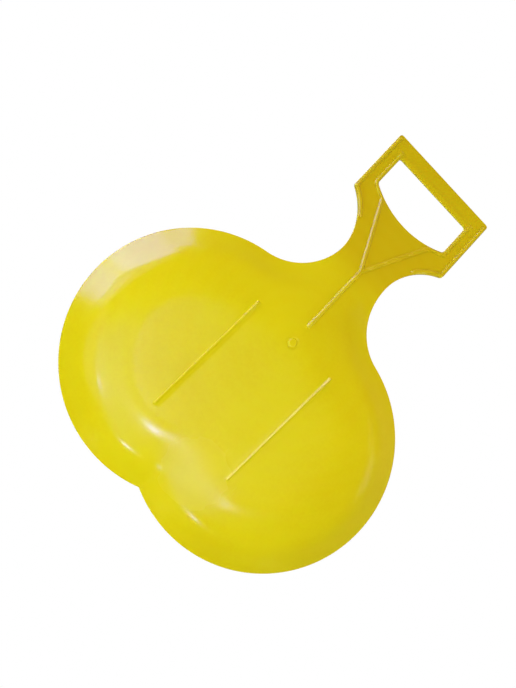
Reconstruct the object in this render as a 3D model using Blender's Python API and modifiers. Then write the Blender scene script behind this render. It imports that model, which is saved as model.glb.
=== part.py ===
"""Snow slider: one polyethylene moulding with a two-lobed pan, a rising neck and a hand grip.

Plan positions are in millimetres. X runs from the line through the two lobe centres towards the
grip, Y runs across the slider and Z points up, from the ground that the runners stand on. The
finished model is in metres, with its origin under the middle of its length and width.
"""

from math import atan2, ceil, cos, hypot, pi, radians, sin, sqrt, tan

import bmesh
import bpy

MM = 0.001

# Sheet
WALL = 2.5
EDGE_CHAMFER = 0.6

# Pan: two equal discs side by side, which leave a notch at the back
LOBE_RADIUS = 133.0
LOBE_SPACING = 102.0
RIM_RISE = 29.0

# Side wall: two soft bends, by their distance inside the rim
LOWER_BEND_START = 78.0
LOWER_BEND_RUN = 40.0
LOWER_WALL_ANGLE = radians(13.0)
UPPER_BEND_START = 38.0
UPPER_BEND_RUN = 24.0

# Neck: it narrows between two round bays and turns up out of the pan's flat base
NECK_WIDTH = 60.0
NECK_BAY_RADIUS = 62.5
NECK_BEND_START = 58.5
NECK_BEND_RUN = 116.0
NECK_ANGLE = radians(24.0)
NECK_HOLLOW_BLEND = 40.0
RIM_BLEND = 12.0

# Hand grip: a frame round one finger opening, straight at the front and bowed at the back
HANDLE_WIDTH = 129.0
HANDLE_SIDE = 78.0
GRIP_BAR = 20.0
OPENING_WIDTH = 96.0
OPENING_SIDE = 37.5
OPENING_BOW = 13.0
SHOULDER_RADIUS = 2.5
GRIP_CORNER_RADIUS = 3.5
OPENING_CORNER_RADIUS = 2.5

# Runners: two straight ribs under the pan, on which the slider stands
RUNNER_SPACING = 104.0
RUNNER_LENGTH = 146.0
RUNNER_MIDDLE = 13.0
RUNNER_HEIGHT = 1.5
RUNNER_CREST = 1.4
RUNNER_ROOT = 2.2
RUNNER_END_SLOPE = 1.5

# Stiffening ribs under the neck, half sunk in the sheet
STEM_START = 102.5
FORK_POSITION = 185.0
FORK_SPREAD = 68.0
STEM_WIDTH = 4.4
ARM_WIDTH = 4.2
RIB_SINK = 0.3

# Rails under the hand grip: one along each outer edge, one round each end of the opening
EDGE_RAIL_WIDTH = 4.0
EDGE_RAIL_INSET = 2.3
EDGE_RAIL_GAP = 5.0
EDGE_RAIL_SWEEP = radians(28.0)
OPENING_RAIL_WIDTH = 3.6
OPENING_RAIL_INSET = 2.3
OPENING_RAIL_OVERRUN = 5.0
RAIL_CORNER_RADIUS = 3.0

# Gate mark where the plastic entered the mould
GATE_POSITION = 81.5
GATE_DIAMETER = 8.6
GATE_HEIGHT = 1.2
GATE_EDGE = 0.5

# Fineness of the model
CELL = 8.5
ARC_STEP = 6.0
RIM_BAND = 1.6
MERGE = 0.5
RIB_STEP = 9.0
CORNER_STEPS = 3

# Places that follow from the sizes above
LOBE_Y = LOBE_SPACING / 2
NOTCH_X = -sqrt(LOBE_RADIUS**2 - LOBE_Y**2)
BAY_Y = NECK_WIDTH / 2 + NECK_BAY_RADIUS
BAY_X = sqrt((LOBE_RADIUS + NECK_BAY_RADIUS) ** 2 - (BAY_Y - LOBE_Y) ** 2)
HANDLE_Y = HANDLE_WIDTH / 2
SHOULDER_X = BAY_X + sqrt(NECK_BAY_RADIUS**2 - (BAY_Y - HANDLE_Y) ** 2)
GRIP_X = SHOULDER_X + HANDLE_SIDE
OPENING_Y = OPENING_WIDTH / 2
OPENING_FRONT_X = GRIP_X - GRIP_BAR
OPENING_BACK_X = OPENING_FRONT_X - OPENING_SIDE
BOW_RADIUS = (OPENING_Y**2 + OPENING_BOW**2) / (2 * OPENING_BOW)
BOW_X = OPENING_BACK_X - OPENING_BOW + BOW_RADIUS
MIDDLE_X = (GRIP_X - LOBE_RADIUS) / 2


def turn_up(distance, run, slope):
    """Height gained along a bend that turns from flat to a slope over a run, then stays straight."""
    share = min(max(distance / run, 0.0), 1.0)
    return slope * (run * (share**3 - share**4 / 2) + max(distance - run, 0.0))


def neck_height(x):
    """Height of the sheet's underside along the middle line, over the flat base."""
    return turn_up(x - NECK_BEND_START, NECK_BEND_RUN, tan(NECK_ANGLE))


def soft_minimum(first, second, blend):
    """The smaller of two lengths, rounded off where they are nearly equal."""
    overlap = max(blend - abs(first - second), 0.0) / blend
    return min(first, second) - overlap * overlap * blend / 4


def rim_distance(x, y):
    """How far a point of the plan lies inside the rim of the pan and the neck."""
    y = abs(y)
    from_lobe_y = y - LOBE_Y
    faces_bay = x > 0 and x * (BAY_Y - LOBE_Y) > from_lobe_y * BAY_X
    faces_notch = x <= 0 and x * LOBE_Y > -from_lobe_y * NOTCH_X
    if faces_bay:
        near = hypot(x - BAY_X, y - BAY_Y) - NECK_BAY_RADIUS
        far = hypot(x - BAY_X, y + BAY_Y) - NECK_BAY_RADIUS
        return soft_minimum(near, far, NECK_HOLLOW_BLEND)
    if faces_notch:
        return hypot(x - NOTCH_X, y)
    return LOBE_RADIUS - hypot(x, from_lobe_y)


def wall_share(distance):
    """Height of the side wall at a distance inside the rim, from 0 on the base to 1 at the rim."""
    lower_slope = tan(LOWER_WALL_ANGLE)
    lower_rise = turn_up(LOWER_BEND_START, LOWER_BEND_RUN, lower_slope)
    upper_slope = (RIM_RISE - lower_rise) / turn_up(UPPER_BEND_START, UPPER_BEND_RUN, 1.0)
    lower = turn_up(LOWER_BEND_START - distance, LOWER_BEND_RUN, lower_slope)
    upper = turn_up(UPPER_BEND_START - distance, UPPER_BEND_RUN, upper_slope)
    return (lower + upper) / RIM_RISE


def underside(x, y):
    """Height of the sliding side over the ground: the wall rises from the base to a level rim."""
    floor = neck_height(x)
    left_to_rise = turn_up(RIM_RISE + RIM_BLEND / 2 - floor, RIM_BLEND, 1.0)
    return RUNNER_HEIGHT + floor + left_to_rise * wall_share(rim_distance(x, y))


def arc(centre, radius, start, end, step):
    """Points along an arc in the plan, both ends included."""
    count = max(2, ceil(radius * abs(end - start) / step))
    angles = [start + (end - start) * index / count for index in range(count + 1)]
    return [(centre[0] + radius * cos(a), centre[1] + radius * sin(a)) for a in angles]


def half_outline():
    """Corners and arcs of the left half, from the notch round to the grip, then the opening."""
    to_notch = pi + atan2(LOBE_Y, -NOTCH_X)
    to_bay = atan2(BAY_Y - LOBE_Y, BAY_X)
    to_shoulder = 2 * pi + atan2(HANDLE_Y - BAY_Y, SHOULDER_X - BAY_X)
    bow_end = pi - atan2(OPENING_Y, BOW_X - OPENING_BACK_X)
    lobe = arc((0.0, LOBE_Y), LOBE_RADIUS, to_notch, to_bay, ARC_STEP)
    bay = arc((BAY_X, BAY_Y), NECK_BAY_RADIUS, to_bay + pi, to_shoulder, ARC_STEP)
    grip = [(GRIP_X, HANDLE_Y), (GRIP_X, 0.0), (OPENING_FRONT_X, 0.0), (OPENING_FRONT_X, OPENING_Y)]
    bow = arc((BOW_X, 0.0), BOW_RADIUS, bow_end, pi, ARC_STEP)
    return lobe + bay[1:] + grip + bow


def round_corner(bm, place, radius):
    """Round the outline's corner at a place of the plan."""
    corner = min(bm.verts, key=lambda v: hypot(v.co.x - place[0], v.co.y - place[1]))
    bmesh.ops.bevel(bm, geom=[corner], offset=radius, offset_type="OFFSET", segments=CORNER_STEPS,
                    profile=0.5, affect="VERTICES", clamp_overlap=True, material=-1)


def slice_across(bm, axis, places):
    """Cut the faces inside the rim band along planes square to X (axis 0) or Y (axis 1)."""
    for place in places:
        inner = [face for face in bm.faces if face.material_index == 0]
        edges = {edge for face in inner for edge in face.edges}
        verts = {vert for face in inner for vert in face.verts}
        point = [0.0, 0.0, 0.0]
        point[axis] = place
        normal = [0.0, 0.0, 0.0]
        normal[axis] = 1.0
        bmesh.ops.bisect_plane(bm, geom=inner + list(edges) + list(verts),
                               plane_co=point, plane_no=normal)


def steps_between(low, high):
    """Evenly spaced places from low to high, about a cell apart."""
    count = ceil((high - low) / CELL)
    return [low + (high - low) * index / count for index in range(count + 1)]


def finish_mesh(bm, name, collection):
    """Turn a bmesh in plan millimetres into an object in metres, centred on the slider."""
    bmesh.ops.translate(bm, vec=(-MIDDLE_X, 0.0, 0.0), verts=bm.verts)
    bmesh.ops.scale(bm, vec=(MM, MM, MM), verts=bm.verts)
    mesh = bpy.data.meshes.new(name)
    bm.to_mesh(mesh)
    bm.free()
    obj = bpy.data.objects.new(name, mesh)
    collection.objects.link(obj)
    return obj


def build_sheet(collection):
    """The moulded sheet: half a plan, sliced, pressed to its heights, mirrored and thickened."""
    bm = bmesh.new()
    bm.faces.new([bm.verts.new((x, y, 0.0)) for x, y in half_outline()])
    round_corner(bm, (SHOULDER_X, HANDLE_Y), SHOULDER_RADIUS)
    round_corner(bm, (GRIP_X, HANDLE_Y), GRIP_CORNER_RADIUS)
    round_corner(bm, (OPENING_FRONT_X, OPENING_Y), OPENING_CORNER_RADIUS)
    round_corner(bm, (OPENING_BACK_X, OPENING_Y), OPENING_CORNER_RADIUS)

    # A narrow band of even faces follows the rim, and the slices stop at it
    band = bmesh.ops.inset_region(bm, faces=bm.faces[:], thickness=RIM_BAND, use_boundary=True)
    for face in band["faces"]:
        on_middle_line = sum(abs(vert.co.y) < MERGE / 2 for vert in face.verts)
        face.material_index = 0 if on_middle_line == 2 else 1
    bend_end = NECK_BEND_START + NECK_BEND_RUN
    level_end = bend_end + (RIM_RISE + RIM_BLEND) / tan(NECK_ANGLE)
    slice_across(bm, 0, steps_between(-LOBE_RADIUS, min(level_end, OPENING_BACK_X)))
    slice_across(bm, 1, steps_between(0.0, LOBE_Y + LOBE_RADIUS)[1:-1])
    inner = [vert for vert in bm.verts if not vert.is_boundary]
    bmesh.ops.remove_doubles(bm, verts=inner, dist=MERGE)
    for vert in bm.verts:
        vert.co.z = underside(vert.co.x, vert.co.y)
    for face in bm.faces:
        face.material_index = 0
        face.smooth = True

    # The flat base and the straight part of the neck become single faces again
    bmesh.ops.dissolve_limit(bm, angle_limit=radians(0.02), verts=bm.verts, edges=bm.edges)
    if sum(face.normal.z * face.calc_area() for face in bm.faces) > 0:
        bmesh.ops.reverse_faces(bm, faces=bm.faces)
    sheet = finish_mesh(bm, "slider_shell", collection)

    mirror = sheet.modifiers.new("other_half", "MIRROR")
    mirror.use_axis = (False, True, False)
    mirror.merge_threshold = 0.0001
    thickness = sheet.modifiers.new("wall", "SOLIDIFY")
    thickness.thickness = WALL * MM
    thickness.offset = -1.0
    thickness.use_even_offset = True
    edges = sheet.modifiers.new("edges", "BEVEL")
    edges.width = EDGE_CHAMFER * MM
    edges.segments = 1
    edges.limit_method = "ANGLE"
    edges.angle_limit = radians(60.0)
    sheet.modifiers.new("flat_facets", "TRIANGULATE")
    return sheet


def rounded_path(points, radius):
    """A plan path whose inner corners are replaced with short arcs."""
    path = [points[0]]
    for before, corner, after in zip(points, points[1:], points[2:]):
        lead = hypot(before[0] - corner[0], before[1] - corner[1])
        tail = hypot(after[0] - corner[0], after[1] - corner[1])
        reach = min(radius, lead / 2, tail / 2)
        start = [corner[i] + (before[i] - corner[i]) * reach / lead for i in range(2)]
        end = [corner[i] + (after[i] - corner[i]) * reach / tail for i in range(2)]
        for index in range(CORNER_STEPS + 1):
            t = index / CORNER_STEPS
            path.append(tuple((1 - t) ** 2 * start[i] + 2 * t * (1 - t) * corner[i] + t * t * end[i]
                              for i in range(2)))
    return path + [points[-1]]


def straight(start, end, step):
    """Points along a straight run of the plan, both ends included."""
    count = max(1, ceil(hypot(end[0] - start[0], end[1] - start[1]) / step))
    return [tuple(start[i] + (end[i] - start[i]) * index / count for i in range(2))
            for index in range(count + 1)]


def build_rib(name, path, width, collection):
    """A round rib with round noses that follows the underside along a plan path."""
    radius = width / 2
    head = hypot(path[1][0] - path[0][0], path[1][1] - path[0][1])
    tail = hypot(path[-1][0] - path[-2][0], path[-1][1] - path[-2][1])
    stations = []
    for reach, share in ((0.0, 0.2), (0.3, 0.7), (1.0, 1.0)):
        t = reach * radius / head
        stations.append((path[0][0] + (path[1][0] - path[0][0]) * t,
                         path[0][1] + (path[1][1] - path[0][1]) * t, share))
    stations += [(x, y, 1.0) for x, y in path[1:-1]]
    for reach, share in ((1.0, 1.0), (0.3, 0.7), (0.0, 0.2)):
        t = reach * radius / tail
        stations.append((path[-1][0] + (path[-2][0] - path[-1][0]) * t,
                         path[-1][1] + (path[-2][1] - path[-1][1]) * t, share))

    curve = bpy.data.curves.new(name, "CURVE")
    curve.dimensions = "3D"
    curve.bevel_depth = radius
    curve.bevel_resolution = 2
    curve.use_fill_caps = True
    spline = curve.splines.new("POLY")
    spline.points.add(len(stations) - 1)
    for point, (x, y, share) in zip(spline.points, stations):
        point.co = (x, y, underside(x, y) + RIB_SINK, 1.0)
        point.radius = share
    guide = bpy.data.objects.new(name + "_path", curve)
    collection.objects.link(guide)
    bpy.context.view_layer.update()
    tube = bpy.data.meshes.new_from_object(guide.evaluated_get(bpy.context.evaluated_depsgraph_get()))
    bm = bmesh.new()
    bm.from_mesh(tube)
    bmesh.ops.remove_doubles(bm, verts=bm.verts, dist=0.01)
    bpy.data.objects.remove(guide)
    bpy.data.meshes.remove(tube)
    return finish_mesh(bm, name, collection)


def build_neck_ribs(collection):
    """The Y-shaped rib: a stem up the bend, and two arms out to the opening's rails."""
    end_y = FORK_SPREAD / 2
    end_x = BOW_X - sqrt((BOW_RADIUS + OPENING_RAIL_INSET) ** 2 - end_y**2)
    stem = straight((STEM_START, 0.0), (FORK_POSITION, 0.0), RIB_STEP)
    ribs = [build_rib("neck_stem", stem, STEM_WIDTH, collection)]
    for side, sign in (("left", 1), ("right", -1)):
        arm = straight((FORK_POSITION, 0.0), (end_x, sign * end_y), RIB_STEP)
        ribs.append(build_rib("neck_arm_" + side, arm, ARM_WIDTH, collection))
    return ribs


def build_grip_rails(collection):
    """The rails along the grip's outer edges and round the ends of its opening."""
    edge_y = HANDLE_Y - EDGE_RAIL_INSET
    edge_radius = NECK_BAY_RADIUS + EDGE_RAIL_INSET
    edge_x = BAY_X + sqrt(edge_radius**2 - (BAY_Y - edge_y) ** 2)
    edge_angle = atan2(edge_y - BAY_Y, edge_x - BAY_X)
    edge = [(GRIP_X - EDGE_RAIL_GAP, edge_y)]
    edge += arc((BAY_X, BAY_Y), edge_radius, edge_angle, edge_angle - EDGE_RAIL_SWEEP, ARC_STEP)

    rail_y = OPENING_Y + OPENING_RAIL_INSET
    rail_radius = BOW_RADIUS + OPENING_RAIL_INSET
    rail_x = BOW_X - sqrt(rail_radius**2 - rail_y**2)
    corner_angle = atan2(rail_y, rail_x - BOW_X)
    end_angle = atan2(FORK_SPREAD / 2, -sqrt(rail_radius**2 - (FORK_SPREAD / 2) ** 2))
    opening = [(OPENING_FRONT_X + OPENING_RAIL_OVERRUN, rail_y)]
    opening += arc((BOW_X, 0.0), rail_radius, corner_angle, end_angle, ARC_STEP)

    rails = []
    for side, sign in (("left", 1), ("right", -1)):
        for name, path, width in (("edge_rail_", edge, EDGE_RAIL_WIDTH),
                                  ("opening_rail_", opening, OPENING_RAIL_WIDTH)):
            turned = rounded_path(path[:3], RAIL_CORNER_RADIUS)[:-1] + path[2:]
            placed = [(x, sign * y) for x, y in turned]
            rails.append(build_rib(name + side, placed, width, collection))
    return rails


def build_runners(collection):
    """Two straight runners, rooted in the sheet, with sloped sides and ends and a level crest."""
    runners = []
    stations = ceil(RUNNER_LENGTH / RIB_STEP)
    for side, sign in (("left", 1), ("right", -1)):
        bm = bmesh.new()
        bmesh.ops.create_cube(bm, size=1.0)
        for index in range(1, stations):
            bmesh.ops.bisect_plane(bm, geom=bm.verts[:] + bm.edges[:] + bm.faces[:],
                                   plane_co=(index / stations - 0.5, 0.0, 0.0),
                                   plane_no=(1.0, 0.0, 0.0))
        middle_y = sign * RUNNER_SPACING / 2
        for vert in bm.verts:
            at_crest = vert.co.z < 0
            length = RUNNER_LENGTH - (2 * RUNNER_END_SLOPE if at_crest else 0.0)
            vert.co.x = RUNNER_MIDDLE + vert.co.x * length
            vert.co.z = 0.0 if at_crest else underside(vert.co.x, middle_y) + WALL / 2
            width = RUNNER_CREST + (RUNNER_ROOT - RUNNER_CREST) * vert.co.z / RUNNER_HEIGHT
            vert.co.y = middle_y + vert.co.y * width
        runners.append(finish_mesh(bm, "runner_" + side, collection))
    return runners


def build_gate_mark(collection):
    """The round stub left where the plastic entered the mould."""
    crest = underside(GATE_POSITION, 0.0) - GATE_HEIGHT
    root = crest + GATE_HEIGHT + WALL / 2
    bm = bmesh.new()
    bmesh.ops.create_cone(bm, cap_ends=True, segments=24, radius1=GATE_DIAMETER / 2,
                          radius2=GATE_DIAMETER / 2, depth=root - crest)
    lower = [edge for edge in bm.edges if all(vert.co.z < 0 for vert in edge.verts)]
    bmesh.ops.bevel(bm, geom=lower, offset=GATE_EDGE, segments=2, profile=0.5, affect="EDGES",
                    clamp_overlap=True, material=-1)
    bmesh.ops.translate(bm, vec=(GATE_POSITION, 0.0, (root + crest) / 2), verts=bm.verts)
    return finish_mesh(bm, "gate_mark", collection)


def yellow_polyethylene():
    """Opaque yellow polyethylene with a soft moulded gloss."""
    material = bpy.data.materials.new("yellow_polyethylene")
    material.use_nodes = True
    shader = material.node_tree.nodes["Principled BSDF"]
    shader.inputs["Base Color"].default_value = (0.71, 0.60, 0.02, 1.0)
    shader.inputs["Roughness"].default_value = 0.35
    shader.inputs["Metallic"].default_value = 0.0
    return material


def main():
    for obj in list(bpy.data.objects):
        bpy.data.objects.remove(obj)
    parts = bpy.data.collections.new("snow_slider")
    reliefs = bpy.data.collections.new("reliefs")
    for collection in (parts, reliefs):
        bpy.context.scene.collection.children.link(collection)

    shell = build_sheet(parts)
    shell.data.materials.append(yellow_polyethylene())
    joined = build_runners(reliefs) + [build_gate_mark(reliefs)]
    joined += build_neck_ribs(reliefs) + build_grip_rails(reliefs)
    for relief in joined:
        relief.hide_render = True
        relief.display_type = "WIRE"
    union = shell.modifiers.new("moulded_reliefs", "BOOLEAN")
    union.operation = "UNION"
    union.operand_type = "COLLECTION"
    union.collection = reliefs
    union.solver = "EXACT"


main()
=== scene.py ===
"""Snow slider: one yellow polyethylene moulding, seen from below as in the photograph.

The slider's plan is in millimetres. X runs from the line through the two lobe centres towards the
grip, Y runs across the slider and Z points up from the ground under its runners. The finished
piece is in metres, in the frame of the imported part.
"""

import logging
from dataclasses import dataclass, field
from enum import Enum
from functools import cached_property
from math import atan2, ceil, cos, hypot, pi, radians, sqrt, tan
from typing import Any, Iterable

import bmesh
import bpy
from bmesh.types import BMEdge, BMesh, BMFace, BMVert
from mathutils import Matrix, Vector


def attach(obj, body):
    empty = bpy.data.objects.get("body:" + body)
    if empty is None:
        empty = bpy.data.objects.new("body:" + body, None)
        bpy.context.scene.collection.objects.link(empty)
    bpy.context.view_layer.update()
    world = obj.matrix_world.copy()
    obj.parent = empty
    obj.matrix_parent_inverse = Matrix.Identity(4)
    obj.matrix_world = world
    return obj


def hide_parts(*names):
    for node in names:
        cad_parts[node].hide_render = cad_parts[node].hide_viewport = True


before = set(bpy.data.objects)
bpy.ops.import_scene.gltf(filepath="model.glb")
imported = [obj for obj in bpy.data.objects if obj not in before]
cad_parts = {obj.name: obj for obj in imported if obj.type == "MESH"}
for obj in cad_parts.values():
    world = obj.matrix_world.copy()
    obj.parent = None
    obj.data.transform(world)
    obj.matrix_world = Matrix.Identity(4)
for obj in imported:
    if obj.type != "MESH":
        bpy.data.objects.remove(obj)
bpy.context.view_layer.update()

MM = 0.001
SHELL_NODE = "slider_shell"
SMOOTH = {"interpolation_type": "SMOOTHSTEP"}
WHITE = "#FFFFFF"

Pattern = bpy.types.ShaderNode | bpy.types.NodeSocket
Pair = tuple[float, float]
Triple = tuple[float, float, float]
Ramp = tuple[float, float, float, float]

log = logging.getLogger("snow_slider")


class Axis(Enum):
    """Direction that a slice is square to."""

    X = Vector((1.0, 0.0, 0.0))
    Y = Vector((0.0, 1.0, 0.0))


class Side(Enum):
    """Side of the middle plane."""

    LEFT = 1
    RIGHT = -1


@dataclass(frozen=True)
class SliderSizes:
    """Sizes of the slider in millimetres and radians, as the part was modelled."""

    # Sheet
    wall: float = 2.5
    edge_radius: float = 0.6

    # Pan: two equal discs side by side, which leave a notch at the back
    lobe_radius: float = 133.0
    lobe_spacing: float = 102.0
    rim_rise: float = 29.0

    # Side wall: two soft bends, by their distance inside the rim
    lower_bend_start: float = 78.0
    lower_bend_run: float = 40.0
    lower_wall_angle: float = radians(13.0)
    upper_bend_start: float = 38.0
    upper_bend_run: float = 24.0

    # Neck between two round bays
    neck_width: float = 60.0
    bay_radius: float = 62.5
    neck_bend_start: float = 58.5
    neck_bend_run: float = 116.0
    neck_angle: float = radians(24.0)
    neck_hollow_blend: float = 40.0
    rim_blend: float = 12.0

    # Hand grip round one finger opening
    handle_width: float = 129.0
    handle_side: float = 78.0
    grip_bar: float = 20.0
    opening_width: float = 96.0
    opening_side: float = 37.5
    opening_bow: float = 13.0
    shoulder_radius: float = 2.5
    grip_corner_radius: float = 3.5
    opening_corner_radius: float = 2.5

    # Runners
    runner_spacing: float = 104.0
    runner_length: float = 146.0
    runner_middle: float = 13.0
    runner_height: float = 1.5
    runner_crest: float = 1.4
    runner_root: float = 2.2
    runner_end_slope: float = 1.5

    # Ribs under the neck
    stem_start: float = 102.5
    fork_position: float = 185.0
    fork_spread: float = 68.0
    stem_width: float = 4.4
    arm_width: float = 4.2
    rib_sink: float = 0.3

    # Rails under the grip
    edge_rail_width: float = 4.0
    edge_rail_inset: float = 2.3
    edge_rail_gap: float = 5.0
    edge_rail_sweep: float = radians(28.0)
    opening_rail_width: float = 3.6
    opening_rail_inset: float = 2.3
    opening_rail_overrun: float = 5.0

    # Low bead under the grip bar, beside the opening, which only the finished piece has
    bead_inset: float = 4.2
    bead_width: float = 8.4
    bead_height: float = 0.55
    bead_gap: float = 7.0

    # Gate mark, whose soft edge only the finished piece has
    gate_position: float = 81.5
    gate_diameter: float = 8.6
    gate_height: float = 1.2
    gate_edge: float = 0.5

    @property
    def lobe_y(self) -> float:
        """Distance of a lobe's centre from the middle plane."""
        return self.lobe_spacing / 2

    @property
    def notch_x(self) -> float:
        """Place of the notch between the lobes."""
        return -sqrt(self.lobe_radius**2 - self.lobe_y**2)

    @property
    def bay_y(self) -> float:
        """Distance of a bay's centre from the middle plane."""
        return self.neck_width / 2 + self.bay_radius

    @property
    def bay_x(self) -> float:
        """Place of the bays' centres, where each touches its lobe."""
        return sqrt((self.lobe_radius + self.bay_radius) ** 2 - (self.bay_y - self.lobe_y) ** 2)

    @property
    def handle_y(self) -> float:
        """Half the width of the grip."""
        return self.handle_width / 2

    @property
    def shoulder_x(self) -> float:
        """Place where a bay meets the side of the grip."""
        return self.bay_x + sqrt(self.bay_radius**2 - (self.bay_y - self.handle_y) ** 2)

    @property
    def grip_x(self) -> float:
        """Place of the grip's front edge."""
        return self.shoulder_x + self.handle_side

    @property
    def opening_y(self) -> float:
        """Half the width of the finger opening."""
        return self.opening_width / 2

    @property
    def opening_front_x(self) -> float:
        """Place of the opening's straight front edge."""
        return self.grip_x - self.grip_bar

    @property
    def opening_back_x(self) -> float:
        """Place of the opening's back corners."""
        return self.opening_front_x - self.opening_side

    @property
    def bow_radius(self) -> float:
        """Radius of the opening's bowed back edge."""
        return (self.opening_y**2 + self.opening_bow**2) / (2 * self.opening_bow)

    @property
    def bow_x(self) -> float:
        """Place of the centre of the bowed back edge."""
        return self.opening_back_x - self.opening_bow + self.bow_radius

    @property
    def middle_x(self) -> float:
        """Middle of the slider's length, where the part has its origin."""
        return (self.grip_x - self.lobe_radius) / 2


@dataclass(frozen=True)
class MeshFineness:
    """How finely the moulding is divided, in millimetres and radians."""

    # Outline
    outline_step: float = 3.0
    outline_merge: float = 0.01
    corner_segments: int = 5

    # Rings inside the rim, by their depth
    rim_rings: tuple[float, ...] = (0.75, 1.2, 1.65, 2.1, 2.5, 2.9, 3.3, 3.7, 4.1, 4.5, 5.2)
    ring_merge: float = 0.28

    # Even cells inside the rings, cut again along the reliefs
    cell: float = 3.1
    cut_snap: float = 0.05
    cell_merge: float = 0.12
    least_edge: float = 0.01
    gate_cell: float = 0.42
    path_step: float = 1.5

    # Edges of the thickened sheet
    sharp_angle: float = radians(60.0)
    edge_segments: int = 3


def turn_up(distance: float, run: float, slope: float) -> float:
    """Height gained along a bend that turns from flat to a slope, then stays straight.

    Args:
        distance: How far along the bend, measured flat.
        run: Flat length of the bend.
        slope: Rise over run behind the bend.

    Returns:
        The height over the start of the bend.
    """
    share = min(max(distance / run, 0.0), 1.0)
    # The slope grows by 3 share**2 - 2 share**3, which sums up to the height's first term
    return slope * (run * (share**3 - share**4 / 2) + max(distance - run, 0.0))


def soft_minimum(first: float, second: float, blend: float) -> float:
    """The smaller of two lengths, rounded off where they differ by less than the blend."""
    overlap = max(blend - abs(first - second), 0.0) / blend
    return min(first, second) - overlap * overlap * blend / 4


def soft_maximum(first: float, second: float, blend: float) -> float:
    """The larger of two lengths, rounded off where they differ by less than the blend."""
    return -soft_minimum(-first, -second, blend)


def off_run(place: Vector, start: Vector, end: Vector) -> float:
    """Distance of a place from a straight run.

    Args:
        place: The place to measure from.
        start: Start of the run.
        end: End of the run.

    Returns:
        The distance from the nearest place of the run.
    """
    run = end - start
    share = min(max((place - start).dot(run) / run.length_squared, 0.0), 1.0)
    return (place - start - run * share).length


def distinct(items: Iterable[BMVert | BMEdge]) -> list[BMVert | BMEdge]:
    """Each item once and in order, which a set wouldn't keep, so every run gives one mesh."""
    return list(dict.fromkeys(items))


class SheetForm:
    """Height of the bent sheet over its plan."""

    def __init__(self, sizes: SliderSizes) -> None:
        """Work out the slopes that the sizes give.

        Args:
            sizes: Sizes of the slider.
        """
        self.sizes = sizes
        self.lower_slope = tan(sizes.lower_wall_angle)
        lower_rise = turn_up(sizes.lower_bend_start, sizes.lower_bend_run, self.lower_slope)
        upper_run = turn_up(sizes.upper_bend_start, sizes.upper_bend_run, 1.0)
        self.upper_slope = (sizes.rim_rise - lower_rise) / upper_run

    def rim_distance(self, x: float, y: float) -> float:
        """How far a point of the plan lies inside the rim of the pan and the neck.

        Args:
            x: Place along the slider.
            y: Place across the slider.

        Returns:
            The distance in millimetres, negative outside the rim.
        """
        s = self.sizes
        y = abs(y)
        from_lobe_y = y - s.lobe_y
        if x > 0 and x * (s.bay_y - s.lobe_y) > from_lobe_y * s.bay_x:
            near = hypot(x - s.bay_x, y - s.bay_y) - s.bay_radius
            far = hypot(x - s.bay_x, y + s.bay_y) - s.bay_radius
            return soft_minimum(near, far, s.neck_hollow_blend)
        if x <= 0 and x * s.lobe_y > -from_lobe_y * s.notch_x:
            return hypot(x - s.notch_x, y)
        return s.lobe_radius - hypot(x, from_lobe_y)

    def wall_share(self, distance: float) -> float:
        """Height of the side wall at a distance inside the rim, as a share of its full rise.

        Args:
            distance: How far inside the rim.

        Returns:
            The share, from 0 on the flat base to 1 at the rim.
        """
        s = self.sizes
        lower = turn_up(s.lower_bend_start - distance, s.lower_bend_run, self.lower_slope)
        upper = turn_up(s.upper_bend_start - distance, s.upper_bend_run, self.upper_slope)
        return (lower + upper) / s.rim_rise

    def underside(self, x: float, y: float) -> float:
        """Height of the sliding side over the ground at a point of the plan.

        Args:
            x: Place along the slider.
            y: Place across the slider.

        Returns:
            The height in millimetres.
        """
        s = self.sizes
        floor = turn_up(x - s.neck_bend_start, s.neck_bend_run, tan(s.neck_angle))
        left_to_rise = turn_up(s.rim_rise + s.rim_blend / 2 - floor, s.rim_blend, 1.0)
        return s.runner_height + floor + left_to_rise * self.wall_share(self.rim_distance(x, y))

    def outward(self, x: float, y: float) -> Vector:
        """Direction square to the sliding side, away from the seat.

        Args:
            x: Place along the slider.
            y: Place across the slider.

        Returns:
            The direction, of length 1.
        """
        step = 0.5
        slope_x = (self.underside(x + step, y) - self.underside(x - step, y)) / (2 * step)
        slope_y = (self.underside(x, y + step) - self.underside(x, y - step)) / (2 * step)
        return Vector((slope_x, slope_y, -1.0)).normalized()


@dataclass(frozen=True)
class Cut:
    """A straight cut of the sheet's faces inside a turned box of the plan.

    Attributes:
        centre: Middle of the box.
        along: Direction of the cut.
        reach: Half the length and half the width of the box.
        offset: Distance of the cut from the centre, square to its direction.
    """

    centre: Vector
    along: Vector
    reach: Pair
    offset: float

    @property
    def across(self) -> Vector:
        """Direction square to the cut."""
        return Vector((-self.along.y, self.along.x, 0.0))

    def holds(self, place: Vector) -> bool:
        """Tell whether a place of the plan is inside the box.

        Args:
            place: The place to look at.

        Returns:
            True inside the box.
        """
        away = place - self.centre
        along, across = abs(away.dot(self.along)), abs(away.dot(self.across))
        return along <= self.reach[0] and across <= self.reach[1]


class Relief:
    """A raised or sunk form of the sliding side."""

    def height(self, x: float, y: float) -> float:
        """Height over the sheet at a place of the plan, positive away from the seat."""
        raise NotImplementedError

    def cuts(self) -> list[Cut]:
        """The cuts that line the sheet's faces up with this form."""
        raise NotImplementedError


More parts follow.
